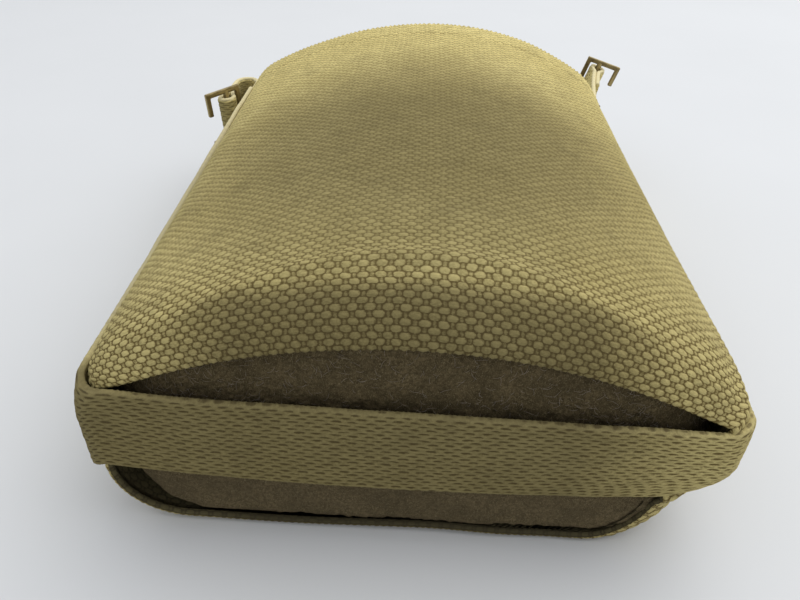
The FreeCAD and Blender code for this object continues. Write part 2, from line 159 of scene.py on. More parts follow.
def rounding(radius, above):
    """How far a quarter-round edge has drawn in, at a height above its lowest level."""
    inside = np.clip(radius - above, 0, radius)
    return radius - np.sqrt(radius ** 2 - inside ** 2)


class Wrap:
    """A face of the carrier or bottle: an outline taken along Y, then turned in over the base."""

    def __init__(self, outline, plan_radius, edge_radius, middle_z, half_depth, base_outline=None):
        """plan_radius is the rounding of the left and right base corners."""
        self.outline, self.base_outline = outline, base_outline or outline
        self.plan_radius, self.edge_radius = plan_radius, edge_radius
        self.middle_z, self.half_depth = middle_z, half_depth

    def edge_start(self, out):
        return top_y - (felt_base_y + self.edge_radius)

    def place(self, s, t, out):
        """Points at s across from the middle and t down from the panels' upper edges."""
        low = felt_base_y - out
        radius = self.edge_radius + out
        start = self.edge_start(out)
        angle = np.clip((t - start) / radius, 0, math.pi / 2)
        past = np.maximum(t - start - radius * math.pi / 2, 0)
        y = np.where(t < start, top_y - t, low + radius * (1 - np.sin(angle)))
        sink = radius * (1 - np.cos(angle)) + past
        x, z = self.outline(s, out)
        base_x, base_z = self.base_outline(s, out)
        up = smooth(y, low + 5, low + 35)
        x, z = base_x + (x - base_x) * up, base_z + (z - base_z) * up
        left, right = (rounding(r + out, y - low) for r in self.plan_radius)
        x = x * (1 - np.where(s < 0, left, right) / (felt_half_width + out))
        z = self.middle_z + (z - self.middle_z) * (1 - sink / (self.half_depth + out))
        return np.stack(np.broadcast_arrays(x, y, z), -1)


def smooth(x, low, high):
    t = np.clip((x - low) / (high - low), 0, 1)
    return t * t * (3 - 2 * t)


def bump(x, centre, width):
    return np.exp(-((x - centre) / width) ** 2)


def unit(vectors):
    return vectors / np.linalg.norm(vectors, axis=-1, keepdims=True)


def run_along(path):
    """Distance from the start of a path at each of its points."""
    return np.concatenate([[0], np.cumsum(np.linalg.norm(np.diff(path, axis=0), axis=1))])


# -------- cloth relief

def lattice_noise(u, v, seed):
    """Smooth noise between -1 and 1 with one value per unit cell."""
    table = np.random.RandomState(seed).rand(128, 128) * 2 - 1
    iu, iv = np.floor(u).astype(int), np.floor(v).astype(int)
    fu, fv = u - iu, v - iv
    fu, fv = fu * fu * (3 - 2 * fu), fv * fv * (3 - 2 * fv)

    def at(i, j):
        return table[i % 128, j % 128]

    near = at(iu, iv) * (1 - fu) + at(iu + 1, iv) * fu
    far = at(iu, iv + 1) * (1 - fu) + at(iu + 1, iv + 1) * fu
    return near * (1 - fv) + far * fv


def noises(u, v, *waves):
    """Sum of noises, each given as its height, its cell's length and width, and its seed."""
    return sum(height * lattice_noise(u / long, v / wide, seed) for height, long, wide, seed in waves)


weave_start = 300.0             # keeps the weave's u and v above 0
inside_shade_shift = 1000.0           # added to the weave's u on cloth that faces the felt, which gets painted shade, nearly black
plump_yarn = (8.5, 2.3)         # how fast a yarn falls away along its length and across it
under_yarn = (55.0, 3.8)
dark_dash = (6.5, 11.0)
under_height = 0.5


def lens(u, v, period, row, fall):
    """Height, from 0 to 1, of one round-topped lens in each cell, each row half a cell behind the last."""
    k = np.floor(v / row)
    across = v / row - k - 0.5
    along = u / period - 0.5 * (k % 2)
    along = along - np.floor(along) - 0.5
    return np.sqrt(np.maximum(1 - fall[0] * along ** 2 - fall[1] * across ** 2, 0))


def floats(u, v, period, row):
    """Plump yarns, with the narrow back of the yarn below showing between their ends."""
    between = under_height * lens(u + period / 2, v, period, row, under_yarn)
    return np.maximum(lens(u, v, period, row, plump_yarn), between)


def pits(u, v, period, row):
    """A closer weave: almost flat, with a thin dark dash where each yarn goes under."""
    return 1 - lens(u, v, period, row, dark_dash)


def uneven(u, v, period, row, seed):
    return 1 + 0.25 * lattice_noise(2 * u / period, v / row, seed)


def wander(u, v, seed):
    """Small drifts that keep the yarns from running dead straight."""
    du = noises(u, v, (0.14, 2.6, 1.5, seed + 4), (0.35, 9, 5, seed), (0.5, 31, 23, seed + 1))
    dv = noises(u, v, (0.22, 14, 9, seed + 2), (0.4, 47, 37, seed + 3), (0.12, 2.1, 1.7, seed + 6))
    return u + du, v + dv


# -------- meshes

def put(name, data):
    """An object in the scene that shows a mesh, a light or a camera."""
    obj = bpy.data.objects.new(name, data)
    bpy.context.scene.collection.objects.link(obj)
    return obj


def make_object(name, points, faces, uv=None, material=None):
    mesh = bpy.data.meshes.new(name)
    mesh.from_pydata((np.asarray(points) * MM).tolist(), [], faces)
    turned = bmesh.new()
    turned.from_mesh(mesh)
    bmesh.ops.recalc_face_normals(turned, faces=turned.faces)
    turned.to_mesh(mesh)
    turned.free()
    mesh.polygons.foreach_set("use_smooth", np.ones(len(mesh.polygons), bool))
    if uv is not None:
        corner = np.zeros(len(mesh.loops), int)
        mesh.loops.foreach_get("vertex_index", corner)
        layer = mesh.uv_layers.new(name="weave")
        layer.data.foreach_set("uv", np.asarray(uv, np.float32)[corner].ravel())
    if material is not None:
        mesh.materials.append(material)
    mesh.update()
    return put(name, mesh)


def grid_quads(rows, columns, offset=0):
    index = np.arange(rows * columns).reshape(rows, columns) + offset
    corners = [index[:-1, :-1], index[1:, :-1], index[1:, 1:], index[:-1, 1:]]
    return np.stack(corners, -1).reshape(-1, 4).tolist()


def tube_faces(rings, around, closed=False):
    """Faces that join rings of points in turn, and the two ends unless the tube closes on itself."""
    index = np.arange(rings * around).reshape(rings, around)
    beside = np.roll(index, -1, axis=1)
    if closed:
        corners = [index, np.roll(index, -1, axis=0), np.roll(beside, -1, axis=0), beside]
        return np.stack(corners, -1).reshape(-1, 4).tolist()
    corners = [index[:-1], index[1:], beside[1:], beside[:-1]]
    return np.stack(corners, -1).reshape(-1, 4).tolist() + [index[0].tolist(), index[-1].tolist()]


def outward_normals(points):
    """Unit normals of a grid of points that wraps round the middle of the carrier."""
    normal = np.cross(np.gradient(points, axis=1), np.gradient(points, axis=0))
    normal = normal / np.maximum(np.linalg.norm(normal, axis=2, keepdims=True), 1e-9)
    from_middle = points - np.array([0, 0, middle_z])
    return normal if np.sum(normal * from_middle) > 0 else -normal


def zip_sides(fine, coarse):
    """Triangles between two lines of vertices that run the same way, the first one finer."""
    faces = []
    last = 0
    steps = len(coarse) - 1
    for j in range(steps):
        end = round((j + 1) * (len(fine) - 1) / steps)
        for i in range(last, end):
            faces.append([fine[i], fine[i + 1], coarse[j]])
        faces.append([fine[end], coarse[j + 1], coarse[j]])
        last = end
    return faces


def closed_sheet(name, outer, inner, uv_outer, uv_inner, material):
    """A closed shell from two grids with the same number of columns and any number of rows."""
    rows, columns = outer.shape[:2]
    rows_in = inner.shape[0]
    start = rows * columns
    index_out = np.arange(start).reshape(rows, columns)
    index_in = np.arange(rows_in * columns).reshape(rows_in, columns) + start
    faces = grid_quads(rows, columns, 0) + grid_quads(rows_in, columns, start)
    for a, b in ((index_out[0], index_in[0]), (index_in[-1], index_out[-1])):
        faces += np.stack([a[:-1], a[1:], b[1:], b[:-1]], -1).tolist()
    for edge in (0, -1):
        faces += zip_sides(index_out[:, edge].tolist(), index_in[:, edge].tolist())
    points = np.concatenate([outer.reshape(-1, 3), inner.reshape(-1, 3)])
    uv = np.concatenate([uv_outer.reshape(-1, 2), uv_inner.reshape(-1, 2)])
    return make_object(name, points, faces, uv, material)


def rolled_edge(edge, normal, outward, loops):
    """Rows of points that turn round the cloth's thickness, from its outer face to its inner one."""
    radius = (webbing / 2 + 0.14 * loops)[:, None]
    middle = edge - normal * webbing / 2
    turns = np.linspace(0, math.pi, 9)[1:]
    return np.stack([middle + normal * radius * math.cos(a) + outward * radius * math.sin(a) for a in turns])


# -------- materials

class Shader:
    """A short way to write the node tree of a material or a world."""

    def __init__(self, name, kind="materials", surface="Principled BSDF"):
        self.owner = getattr(bpy.data, kind).new(name)
        self.owner.use_nodes = True
        self.tree = self.owner.node_tree
        self.surface = self.tree.nodes[surface]

    def node(self, kind, inputs, **settings):
        n = self.tree.nodes.new(kind)
        for key, value in settings.items():
            setattr(n, key, value)
        for key, value in inputs.items():
            self.feed(n.inputs[key], value)
        return n

    def feed(self, socket, value):
        """Link a socket to another node's output, or set its value."""
        if isinstance(value, bpy.types.NodeSocket):
            self.tree.links.new(value, socket)
        else:
            socket.default_value = value

    def math(self, operation, *values):
        return self.node("ShaderNodeMath", dict(enumerate(values)), operation=operation).outputs[0]

    def add(self, a, b):
        return self.math("ADD", a, b)

    def times(self, a, b):
        return self.math("MULTIPLY", a, b)

    def scaled(self, vector, factors):
        return self.node("ShaderNodeVectorMath", {0: vector, 1: factors}, operation="MULTIPLY").outputs[0]

    def noise(self, vector, scale, detail=3.0, roughness=0.55):
        inputs = {"Vector": vector, "Scale": scale, "Detail": detail, "Roughness": roughness}
        return self.node("ShaderNodeTexNoise", inputs).outputs["Fac"]

    def spread(self, value, low, high, to_low=0.0, to_high=1.0, kind="LINEAR"):
        inputs = {"Value": value, "From Min": low, "From Max": high, "To Min": to_low, "To Max": to_high}
        return self.node("ShaderNodeMapRange", inputs, interpolation_type=kind).outputs["Result"]

    def mix(self, share, a, b):
        """A blend of two colours."""
        n = self.node("ShaderNodeMix", {0: share}, data_type="RGBA")
        self.feed(n.inputs[6], (*a, 1) if isinstance(a, tuple) else a)
        self.feed(n.inputs[7], (*b, 1) if isinstance(b, tuple) else b)
        return n.outputs[2]

    def tint(self, colour, value, low, high, amount, other):
        """The colour, turning to another as a value goes from low to high."""
        return self.mix(self.spread(value, low, high, 0, amount), colour, other)

    def parts(self, vector):
        return list(self.node("ShaderNodeSeparateXYZ", {0: vector}).outputs)

    def place(self):
        """Position on the piece in millimetres."""
        coordinates = self.node("ShaderNodeTexCoord", {}).outputs["Object"]
        return self.scaled(coordinates, (1 / MM,) * 3)

    def bump(self, height, distance, strength=1.0, normal=None):
        inputs = {"Height": height, "Distance": distance * MM, "Strength": strength}
        if normal is not None:
            inputs["Normal"] = normal
        return self.node("ShaderNodeBump", inputs).outputs["Normal"]

    def finish(self, **sockets):
        for key, value in sockets.items():
            self.feed(self.surface.inputs[key.replace("_", " ")], value)
        return self.owner


def lens_height(sh, u, v, period, row, fall):
    """The same formula as lens(), and a random number for each cell."""
    k = sh.math("FLOOR", sh.math("DIVIDE", v, row))
    across = sh.math("SUBTRACT", sh.math("FRACT", sh.math("DIVIDE", v, row)), 0.5)
    shift = sh.times(sh.math("FLOORED_MODULO", k, 2.0), 0.5)
    cell = sh.math("SUBTRACT", sh.math("DIVIDE", u, period), shift)
    along = sh.math("SUBTRACT", sh.math("FRACT", cell), 0.5)
    left = sh.math("MULTIPLY_ADD", sh.times(across, across), -fall[1], 1.0)
    left = sh.math("MULTIPLY_ADD", sh.times(along, along), -fall[0], left)
    height = sh.math("SQRT", sh.math("MAXIMUM", left, 0.0))
    place = sh.node("ShaderNodeCombineXYZ", {0: sh.math("FLOOR", cell), 1: k}).outputs[0]
    return height, sh.node("ShaderNodeTexWhiteNoise", {"Vector": place}).outputs["Value"]


def float_height(sh, u, v, period, row):
    """The same formula as floats()."""
    over, chance = lens_height(sh, u, v, period, row, plump_yarn)
    under, _ = lens_height(sh, sh.add(u, period / 2), v, period, row, under_yarn)
    return sh.math("MAXIMUM", over, sh.times(under, under_height)), chance


def pit_height(sh, u, v, period, row):
    """The same formula as pits()."""
    dash, chance = lens_height(sh, u, v, period, row, dark_dash)
    return sh.math("SUBTRACT", 1.0, dash), chance


def painted_cloth_shade(sh, colour, x, y, both_sides):
    """Painted shade low over the base, less towards its sides, and a patch of painted shade in the middle of
    the front.
    """
    low = sh.spread(y, -81.0, -94.0, 0, 0.78, "SMOOTHSTEP")
    from_middle, least = (sh.math("ABSOLUTE", x), 0.3) if both_sides else (x, 0.5)
    side = sh.spread(from_middle, 40.0, 72.0, 1, least)
    across = sh.math("POWER", sh.math("DIVIDE", x, 52.0), 2.0)
    down = sh.math("POWER", sh.math("DIVIDE", sh.add(y, 15.0), 62.0), 2.0)
    patch = sh.spread(sh.add(across, down), 0, 2.4, 0.31, 0, "SMOOTHSTEP")
    patch = sh.add(patch, sh.spread(y, 100.0, 10.0, 0, 0.40))
    return sh.mix(sh.math("MAXIMUM", sh.times(low, side), patch), colour, (0.06, 0.045, 0.02))


def webbing_material(name, weave_height, period, row, pit_colour, edge=0.0):
    """Woven khaki cotton.  The weave's height comes from the same formula as the mesh relief.

    edge is half the width of webbing whose woven sides show paler, or 0.
    """
    pale, tan = pale_khaki, tan_khaki
    sh = Shader(name)
    uv = sh.node("ShaderNodeUVMap", {}, uv_map="weave").outputs[0]
    u, v, _ = sh.parts(uv)
    height, chance = weave_height(sh, u, v, period, row)
    place = sh.place()
    x, y, _ = sh.parts(place)
    plies = sh.noise(sh.scaled(uv, (0.9, 6.0, 1)), 1.0, 4.0, 0.6)
    fibres = sh.noise(sh.scaled(uv, (1.2, 2.2, 1)), 1.0, 4.0, 0.75)
    # Noise that breaks up the painted shade in the weave's hollows.
    pit_shade_noise = sh.math("MULTIPLY_ADD", sh.noise(sh.scaled(uv, (0.9, 1.5, 1)), 1.0, 4.0, 0.75), 1.9, -0.95)
    seen = sh.add(height, pit_shade_noise)
    cloud = sh.noise(place, 0.022, 4.0, 0.6)
    soil = sh.noise(place, 0.075, 5.0, 0.65)
    colour = sh.mix(sh.spread(cloud, 0.35, 0.65), tan, pale)
    colour = sh.tint(colour, chance, 0, 1, 0.55, tuple(0.62 * c for c in tan))
    colour = sh.tint(colour, fibres, 0.40, 0.62, 0.65, tuple(min(1, 1.3 * c) for c in pale))
    colour = sh.tint(colour, soil, 0.52, 0.75, 0.28, (0.12, 0.10, 0.055))
    # Painted shade: the weave's hollows darken towards the pit colour, more so near the base.
    shade = sh.times(sh.spread(seen, 0.72, 0.12), sh.spread(y, -92.0, -66.0, 1, 0.6))
    colour = sh.mix(shade, colour, pit_colour)
    # Painted shade: cloth that faces the felt, and the left chape's face, turn nearly black for the shadow
    # inside the carrier and in the chape's fold.
    inside = sh.spread(u, inside_shade_shift - 400, inside_shade_shift - 380, 0, 0.86)
    if edge:
        from_middle = sh.math("ABSOLUTE", sh.math("SUBTRACT", v, weave_start))
        up_side = sh.spread(y, -96.0, -60.0, 0.1, 0.8)
        share = sh.times(sh.spread(from_middle, edge - 1.2, edge - 0.4), up_side)
        colour = sh.mix(share, colour, cream)
        folded_out = sh.spread(x, -83.0, -87.0, 0, 0.5)         # the left chape, seen from inside: painted shade for the shadow in its fold
        face = sh.spread(from_middle, edge - 1.2, edge - 1.8)
        inside = sh.math("MAXIMUM", inside, sh.times(folded_out, face))
    # Painted shade: the cloth darkens low over the base and in the middle of the front, and turns nearly
    # black where the inside mask is set.
    colour = sh.mix(inside, painted_cloth_shade(sh, colour, x, y, not edge), (0.04, 0.034, 0.02))
    fuzz = sh.add(sh.times(plies, 0.5), sh.times(fibres, 0.5))
    normal = sh.bump(fuzz, 0.16, 0.8, sh.bump(height, 0.2, 0.5))
    return sh.finish(Base_Color=colour, Roughness=0.92, Specular_IOR_Level=0.1, Normal=normal)


def felt_material():
    """Brown wool felt: matted, mottled, with paler loose hairs."""
    sh = Shader("felt_wool")
    place = sh.place()
    matted = sh.noise(place, 1.1, 6.0, 0.72)
    mottle = sh.noise(place, 0.13, 4.0, 0.6)
    hair = sh.noise(sh.scaled(place, (3.0, 1.0, 1.6)), 1.4, 6.0, 0.8)
    colour = sh.mix(sh.spread(mottle, 0.35, 0.65), (0.086, 0.064, 0.032), (0.145, 0.108, 0.055))
    colour = sh.tint(colour, matted, 0.42, 0.58, 0.8, (0.055, 0.041, 0.020))
    colour = sh.tint(colour, hair, 0.52, 0.64, 0.6, (0.33, 0.27, 0.15))
    # Paler low down, near the floor: painted light for the light thrown back up from the floor.
    colour = sh.tint(colour, sh.parts(place)[2], 24.0, 16.0, 0.1, (0.30, 0.24, 0.15))
    height = sh.add(matted, sh.times(hair, 0.6))
    return sh.finish(Base_Color=colour, Roughness=0.97, Specular_IOR_Level=0.05,
                     Normal=sh.bump(height, 0.6, 0.9))


def brass_material():
    """Old brass: brown tarnish, with bare metal where it rubs."""
    sh = Shader("tarnished_brass")
    place = sh.place()
    edge = sh.node("ShaderNodeNewGeometry", {}).outputs["Pointiness"]
    patina = sh.noise(place, 0.35, 5.0, 0.65)
    speck = sh.noise(place, 2.2, 4.0, 0.7)
    colour = sh.mix(sh.spread(patina, 0.35, 0.65), (0.17, 0.125, 0.055), (0.30, 0.235, 0.105))
    colour = sh.tint(colour, speck, 0.5, 0.7, 0.6, (0.10, 0.08, 0.04))
    colour = sh.tint(colour, edge, 0.52, 0.6, 0.7, (0.52, 0.42, 0.20))
    rough = sh.spread(speck, 0.3, 0.7, 0.42, 0.68)
    return sh.finish(Base_Color=colour, Metallic=0.85, Roughness=rough, Normal=sh.bump(speck, 0.08, 0.5))


def enamel_material():
    """Dark blue vitreous enamel with fine pits and a chipped lip that shows wear."""
    sh = Shader("blue_enamel")
    place = sh.place()
    ripple = sh.noise(place, 0.18, 3.0)
    speck = sh.noise(place, 1.8, 5.0, 0.7)
    edge = sh.node("ShaderNodeNewGeometry", {}).outputs["Pointiness"]
    colour = sh.mix(sh.spread(ripple, 0.3, 0.7), (0.018, 0.030, 0.075), (0.030, 0.050, 0.115))
    colour = sh.tint(colour, speck, 0.66, 0.72, 0.8, (0.05, 0.035, 0.025))
    chip = sh.times(sh.spread(edge, 0.52, 0.58), sh.spread(speck, 0.5, 0.6))
    colour = sh.mix(chip, colour, (0.09, 0.055, 0.04))
    return sh.finish(Base_Color=colour, Roughness=sh.spread(speck, 0.4, 0.8, 0.16, 0.4),
                     Coat_Weight=0.5, Normal=sh.bump(ripple, 0.3, 0.4))


def cork_material():
    sh = Shader("natural_cork")
    place = sh.place()
    grain = sh.noise(place, 0.5, 5.0, 0.7)
    cells = sh.node("ShaderNodeTexVoronoi", {"Vector": place, "Scale": 0.55}).outputs["Distance"]
    lenticel = sh.noise(sh.scaled(place, (1.0, 0.25, 1.0)), 0.7, 4.0, 0.75)
    colour = sh.mix(sh.spread(grain, 0.35, 0.7), (0.42, 0.27, 0.14), (0.27, 0.16, 0.08))
    colour = sh.tint(colour, lenticel, 0.6, 0.68, 0.9, (0.09, 0.05, 0.03))
    colour = sh.mix(sh.spread(cells, 0.0, 0.25, 0.35, 0), colour, (0.55, 0.38, 0.22))
    height = sh.math("SUBTRACT", grain, sh.spread(lenticel, 0.58, 0.7))
    return sh.finish(Base_Color=colour, Roughness=0.88, Normal=sh.bump(height, 0.5, 0.8))


def wire_material():
    """Tinned steel gone dull, with rust freckles."""
    sh = Shader("tinned_steel")
    place = sh.place()
    dull = sh.noise(place, 0.6, 5.0, 0.65)
    rust = sh.noise(place, 1.4, 5.0, 0.75)
    colour = sh.mix(sh.spread(dull, 0.3, 0.7), (0.36, 0.35, 0.32), (0.20, 0.19, 0.17))
    colour = sh.tint(colour, rust, 0.6, 0.7, 0.8, (0.16, 0.07, 0.03))
    return sh.finish(Base_Color=colour, Metallic=0.8, Roughness=sh.spread(dull, 0.3, 0.7, 0.35, 0.6),
                     Normal=sh.bump(rust, 0.08, 0.5))


def thread_material(name, colour_a, colour_b):
    """Twisted thread or cord: fine diagonal plies."""
    sh = Shader(name)
    plies = sh.noise(sh.scaled(sh.place(), (3.0, 3.0, 3.0)), 1.0, 4.0, 0.7)
    colour = sh.mix(sh.spread(plies, 0.35, 0.65), colour_a, colour_b)
    return sh.finish(Base_Color=colour, Roughness=0.9, Sheen_Weight=0.2, Normal=sh.bump(plies, 0.12, 0.7))


pale_khaki = (0.74, 0.62, 0.265)
tan_khaki = (0.56, 0.455, 0.175)
# The pit and dash colours are painted shade for the weave's hollows.
pit_brown = (0.165, 0.115, 0.034)
dash_brown = (0.19, 0.14, 0.05)
cream = (0.74, 0.65, 0.40)
panel_period, panel_row = 3.9, 1.5
strip_period, strip_row = 4.05, 1.1
panel_cloth = webbing_material("panel_webbing", float_height, panel_period, panel_row, pit_brown)
strip_cloth = webbing_material("strip_webbing", pit_height, strip_period, strip_row, dash_brown,
                               strip_width / 2)
felt_cloth = felt_material()
fibre_wool = thread_material("loose_fibre", (0.30, 0.24, 0.16), (0.12, 0.09, 0.06))
brass = brass_material()
enamel = enamel_material()
cork = cork_material()
tinned = wire_material()
seam_thread = thread_material("seam_thread", (0.40, 0.335, 0.18), (0.26, 0.21, 0.10))
cord_cotton = thread_material("cord_cotton", (0.42, 0.36, 0.22), (0.24, 0.19, 0.11))


# -------- the carrier's panels

front_corner = strip_high_radius - strip_out
front_wrap = Wrap(front_outline, (front_corner + 3.0, front_corner - 1.5), felt_edge_radius, middle_z,
                  felt_front_z - middle_z)
back_wrap = Wrap(back_outline, (2.0, strip_low_radius - strip_out + 4.0), 2.6, strip_mid_z,
                 strip_mid_z - felt_back_z)


def free_edge_z(x):
    """Height of the front panel's free lower edge above the back, across the carrier."""
    edge_z, edge_radius = 67.5, 157.0
    return edge_z - edge_radius + np.sqrt(edge_radius ** 2 - np.clip(x, -90, 90) ** 2)


def front_ends(s):
    """How far down each column runs before it meets the free edge or the end of the side seam."""
    sewn_x = 73.8
    low = np.full_like(s, 100.0)
    high = np.full_like(s, 260.0)
    for _ in range(40):
        mid = (low + high) / 2
        p = front_wrap.place(s, mid, panel_out)
        above = np.where(np.abs(p[:, 0]) > sewn_x, True, p[:, 2] > free_edge_z(p[:, 0]))
        low = np.where(above, mid, low)
        high = np.where(above, high, mid)
    return low


def front_shape(s, y):
    """A ridge over the base, a slight valley above it, and a crown that is fuller on the right."""
    side = np.abs(s)[None, :]
    fuller = np.sin(math.pi * np.clip(s / front_seam, -1, 1))[None, :]
    skew = 0.4 + 1.3 * fuller * smooth(y, base_y, base_y + 60)
    ridge_y = base_y + 19.5 - 6.0 * (side / 42) ** 2
    centre = 1 - smooth(side, 40, 66)
    return (0.8 * bump(y, ridge_y, 2.4) - 0.5 * bump(y, ridge_y + 8, 5.0)) * centre + skew


def back_ends(s):
    turned_in = 0.8 + 0.12 * lattice_noise(s / 23 + 50, s * 0, 33)
    return back_wrap.edge_start(panel_out) + (back_wrap.edge_radius + panel_out) * turned_in


def back_shape(s, y):
    """The back's yarns are sunk so that it rests on the floor at its nominal height."""
    return np.full_like(y, -0.55)


def panel(name, wrap, half, seam_side, ends, shape, seed, dark_rows):
    """A panel and its rolled edges.  The last dark_rows rows of the lower one get the same painted shade as
    the inside.
    """
    step_u, step_v = 0.56, 0.46
    eased = 70.0                # cloth nearest the base is eased so that every row meets its edge
    s = np.linspace(-half, half, int(2 * half / step_u) + 1)
    ends = ends(s)
    length = ends[len(s) // 2]
    rows = np.linspace(0, length, int(length / step_v) + 1)

    def down(v):
        share = (v[:, None] - (length - eased)) / eased
        return np.where(share < 0, v[:, None], length - eased + share * (ends[None, :] - length + eased))

    t = down(rows)
    base = wrap.place(np.broadcast_to(s, t.shape), t, panel_out)
    normal = outward_normals(base)
    flat = np.broadcast_arrays(s[None, :] + weave_start, rows[:, None] + weave_start)
    u, v = wander(*flat, seed)
    relief = floats(u, v, panel_period, panel_row) * uneven(u, v, panel_period, panel_row, seed + 5)

    side = np.abs(s)[None, :]
    behind = smooth(side, seam_side, seam_side + 1.5)
    near_base = 1 - smooth(base[..., 1], base_y + 15, base_y + 100)
    over = np.where(s < 0, 0.0, 0.6 + 1.3 * near_base) * bump(side, seam_side - 3.2, 3.0)
    groove = np.where(s < 0, 1.0 - 0.6 * near_base, 0.45) * smooth(side, seam_side - 4.0, seam_side - 0.6)
    tuck = over - groove
    lumps = noises(u, v, (0.45, 34, 41, seed + 7), (0.2, 15, 17, seed + 8))
    lumps = lumps * (1 - smooth(side, seam_side - 14, seam_side))
    hem = 0.45 * (1 - smooth(rows[:, None], 12.5, 14.5))
    cloth = 0.32 * relief * (1 - 0.8 * behind)
    ends_v = np.maximum(smooth(rows, length - 1.6, length - 0.6), 1 - smooth(rows, 0.6, 1.6))[:, None]
    loops = 0.5 + 0.5 * np.cos(2 * math.pi * (u + 0.4 * v) / (panel_period / 2))
    loops = loops * (0.3 if dark_rows > 1 else 1.0)
    cloth = cloth * (1 - ends_v) + 0.45 * loops * ends_v
    total = cloth + shape(s, base[..., 1]) + hem + tuck + lumps - 0.35 * behind
    outer = base + normal * total[..., None]
    outer[..., 2] = np.maximum(outer[..., 2], 0.02)

    tail = rolled_edge(outer[-1], normal[-1], unit(base[-1] - base[-2]), loops[-1])
    top = rolled_edge(outer[0], normal[0], np.array([0, 1.0, 0]), loops[0])[::-1]
    outer = np.concatenate([top, outer, tail])
    turn_v = np.linspace(0, math.pi, 9)[1:]
    uv_top = np.stack([np.stack([u[0], v[0] - a], -1) for a in turn_v[::-1]])
    uv_tail = np.stack([np.stack([u[-1], v[-1] + a], -1) for a in turn_v])
    # These last rows of the rolled edge get the painted shade of the inside.
    uv_tail[len(uv_tail) - dark_rows:, :, 0] += inside_shade_shift
    uv = np.concatenate([uv_top, np.stack([u, v], -1), uv_tail])

    inner_rows = np.linspace(0.8, length - 0.8, 60)
    t_in = down(inner_rows)
    inner = wrap.place(np.broadcast_to(s, t_in.shape), t_in, panel_in)
    sunk = -(groove.max(axis=0) + 0.35 * behind[0])[None, :, None]
    inner = inner + outward_normals(inner) * sunk
    # The inner face is shifted so that it gets the painted shade of the inside.
    flat = np.broadcast_arrays(s[None, :] + weave_start + inside_shade_shift, inner_rows[:, None] + weave_start)
    uv_in = np.stack(flat, -1)
    return closed_sheet(name, outer, inner, uv, uv_in, panel_cloth)


# -------- the strip and its chapes

face_lines = 54                 # lines of vertices across a face of the strip or a chape
edge_lines = 6


def band(name, place, normal, lengths, inner_lines):
    """Webbing about the middle surface place(share across): a closed tube with rounded, ticked edges."""
    round_in = 0.9
    reach = strip_width / 2 - round_in
    outer_a = np.linspace(-reach, reach, face_lines)
    inner_a = np.linspace(reach, -reach, inner_lines)
    turn = np.radians(np.linspace(25, 155, edge_lines))
    a = np.concatenate([outer_a, reach + round_in * np.sin(turn), inner_a, -reach - round_in * np.sin(turn)])
    n = np.concatenate([np.ones(face_lines), np.cos(turn), -np.ones(inner_lines), -np.cos(turn)])
    on_edge = np.zeros(edge_lines)
    face = np.concatenate([np.ones(face_lines), on_edge, -np.ones(inner_lines), on_edge])
    flat_u, flat_v = np.meshgrid(lengths + weave_start, a + weave_start, indexing="ij")
    u, v = wander(flat_u, flat_v, 41)
    shifted = np.where(face < 0, u + strip_period / 2, u)
    relief = 0.36 * pits(shifted, v, strip_period, strip_row) * uneven(u, v, strip_period, strip_row, 43)
    ticks = 0.05 * np.cos(2 * math.pi * lengths / 1.3)[:, None] * (face == 0)
    out = n[None, :] * webbing / 2 * (1 + ticks) + face * (relief - 0.2)
    wobble = 0.25 * lattice_noise(lengths / 11, lengths * 0 + 0.5, 47)[:, None]
    share = (a + strip_width / 2)[None, :] + (wobble + 2 * ticks) * np.sign(a)
    points = place(share / strip_width) + normal[:, None] * out[..., None]
    uv = np.stack([u, v], -1).reshape(-1, 2)
    return make_object(name, points.reshape(-1, 3), tube_faces(*points.shape[:2]), uv, strip_cloth)


bend_radius = 5.0               # to which the left end of the strip folds outward
bend_rise = 9.5
bend_part = 68.0                # degrees of the bend that belong to the strip
strip_proud = 1.1               # by which the strip's upper edge stands out along the left side


def strip_place(q, share):
    """Points of the strip's middle surface: q is 0 to 1 along half the base, then a corner, then a side.

    The corners bulge halfway up and are drawn in towards the lower edge, more so on the right.
    """
    half, low = half_width - webbing / 2, base_y + webbing / 2
    drawn = np.where(q < 0, 0.0, 15.0) * np.clip(1 - share / 0.5, 0, 2) ** 2
    trimmed = np.where(q < 0, 7.0, 1.0) * np.clip(share / 0.4 - 1.5, 0, 1) ** 2
    radius = 6.0 + drawn + trimmed
    k = np.abs(q)
    angle = np.clip(k - 1, 0, 1) * math.pi / 2
    x = np.where(k < 1, k * (half - radius), half - radius + radius * np.sin(angle))
    y = np.where(k < 2, low + radius * (1 - np.cos(angle)), low + radius + (k - 2) * (top_y - low - radius))
    near_base = 1 - smooth(k, 1.0, 1.6)
    proud = strip_proud * smooth(-q, 2.1, 2.9)
    x = x * np.sign(q) - proud * smooth(share, 0.5, 1.0)
    low_z = strip_low_z + (0.0007 * x ** 2 - 1.2) * near_base
    high_z = strip_high_z + (0.3 - 0.018 * x + 1.3 * smooth(-x, 50, 75)) * near_base + 0.6 * proud
    return np.stack([x, y, low_z + (high_z - low_z) * share], -1)


